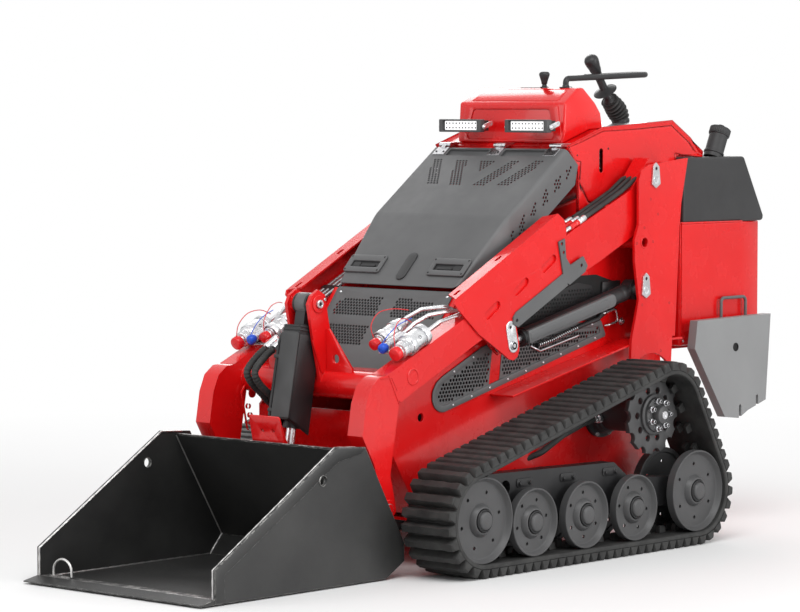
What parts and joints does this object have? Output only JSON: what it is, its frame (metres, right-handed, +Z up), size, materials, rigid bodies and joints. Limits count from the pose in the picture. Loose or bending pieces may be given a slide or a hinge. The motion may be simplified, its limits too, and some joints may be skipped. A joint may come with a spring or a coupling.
{
  "type": "mini skid steer loader",
  "caption": "Compact tracked loader with radial lift arms, a front bucket, a sloped vented hood, a stand-on rear with a control console, and twin rubber tracks",
  "frame": {"origin": "centre of the footprint box, on the ground", "axes": "+X to the machine's left, +Y to its rear, +Z up; the bucket faces -Y"},
  "size_m": [1.06, 2.508, 1.4412],
  "materials": {
    "red_paint": "gloss red paint over sheet and plate steel",
    "grey_paint": "satin grey powder coat with a fine texture",
    "light_grey_paint": "satin light grey paint",
    "black_paint": "textured black paint",
    "rubber": "moulded black rubber",
    "steel": "bright zinc-plated and polished steel",
    "plastic": "moulded black plastic",
    "iron": "dark cast iron"
  },
  "bodies": {
    "root": {"chassis": "red_paint", "towers": "red_paint", "tower_pins": "steel", "track_left": "rubber", "track_right": "rubber", "track_beams": "black_paint", "idlers": "grey_paint", "rollers": "grey_paint", "sprockets": "grey_paint", "drive_motors": "iron", "engine": "iron", "side_grilles": "grey_paint", "fenders": "red_paint", "nose_grille": "grey_paint", "body_sides": "red_paint", "console": "red_paint", "deck_plate": "steel", "work_lamps": "black_paint", "control_lever": "plastic", "joystick": "plastic", "handrail": "black_paint", "hood_hinges": "steel", "rear_box": "red_paint", "fuel_tank": "plastic", "filler_caps": "plastic", "grab_handles": "grey_paint", "rear_plates": "light_grey_paint"},
    "hood": {"hood": "grey_paint", "hood_leaves": "steel", "hood_latches": "grey_paint", "hood_screens": "grey_paint"},
    "arms": {"arms": "red_paint", "arm_panels": "red_paint", "arm_brackets": "grey_paint", "arm_pipes": "steel", "arm_hoses": "rubber", "couplers": "steel", "arm_pins": "steel"},
    "bucket": {"bucket": "black_paint", "quick_attach": "red_paint"},
    "lift_barrel_l": {"lift_barrel_left": "black_paint"},
    "lift_rod_l": {"lift_rod_left": "steel"},
    "lift_barrel_r": {"lift_barrel_right": "black_paint"},
    "lift_rod_r": {"lift_rod_right": "steel"},
    "tilt_barrel": {"tilt_barrel": "grey_paint"},
    "tilt_rod": {"tilt_rod": "steel"}
  },
  "joints": [
    {"name": "lift", "type": "hinge", "parent": "root", "child": "arms", "pos_m": [0, 0.622, 1.067], "axis": [-1, 0, 0], "range_deg": [0, 60]},
    {"name": "bucket_tilt", "type": "hinge", "parent": "arms", "child": "bucket", "pos_m": [0, -0.518, 0.19], "axis": [1, 0, 0], "range_deg": [-15, 85]},
    {"name": "hood_open", "type": "hinge", "parent": "root", "child": "hood", "pos_m": [0, 0.322, 1.17], "axis": [-1, 0, 0], "range_deg": [0, 60]},
    {"name": "lift_barrel_swing_l", "type": "hinge", "parent": "root", "child": "lift_barrel_l", "pos_m": [0.293, 0.577, 0.743], "axis": [-1, 0, 0], "range_deg": [-0.5, 57.6]},
    {"name": "lift_rod_slide_l", "type": "slide", "parent": "lift_barrel_l", "child": "lift_rod_l", "axis": [0, -0.9744, -0.2247], "range_m": [-0.001, 0.328]},
    {"name": "lift_barrel_swing_r", "type": "hinge", "parent": "root", "child": "lift_barrel_r", "pos_m": [-0.293, 0.577, 0.743], "axis": [-1, 0, 0], "range_deg": [-0.5, 57.6]},
    {"name": "lift_rod_slide_r", "type": "slide", "parent": "lift_barrel_r", "child": "lift_rod_r", "axis": [0, -0.9744, -0.2247], "range_m": [-0.001, 0.328]},
    {"name": "tilt_barrel_swing", "type": "hinge", "parent": "arms", "child": "tilt_barrel", "pos_m": [0, -0.506, 0.738], "axis": [1, 0, 0], "range_deg": [-6, 2]},
    {"name": "tilt_rod_slide", "type": "slide", "parent": "tilt_barrel", "child": "tilt_rod", "axis": [0, -0.1707, -0.9853], "range_m": [-0.035, 0.18]}
  ],
  "couplings": [
    {"joint": "lift_barrel_swing_l", "follows": "lift", "ratio": 0.94628},
    {"joint": "lift_rod_slide_l", "follows": "lift", "m_per_rad": 0.30982},
    {"joint": "lift_barrel_swing_r", "follows": "lift", "ratio": 0.94628},
    {"joint": "lift_rod_slide_r", "follows": "lift", "m_per_rad": 0.30982},
    {"joint": "tilt_barrel_swing", "follows": "bucket_tilt", "ratio": -0.06},
    {"joint": "tilt_rod_slide", "follows": "bucket_tilt", "m_per_rad": 0.11839}
  ]
}
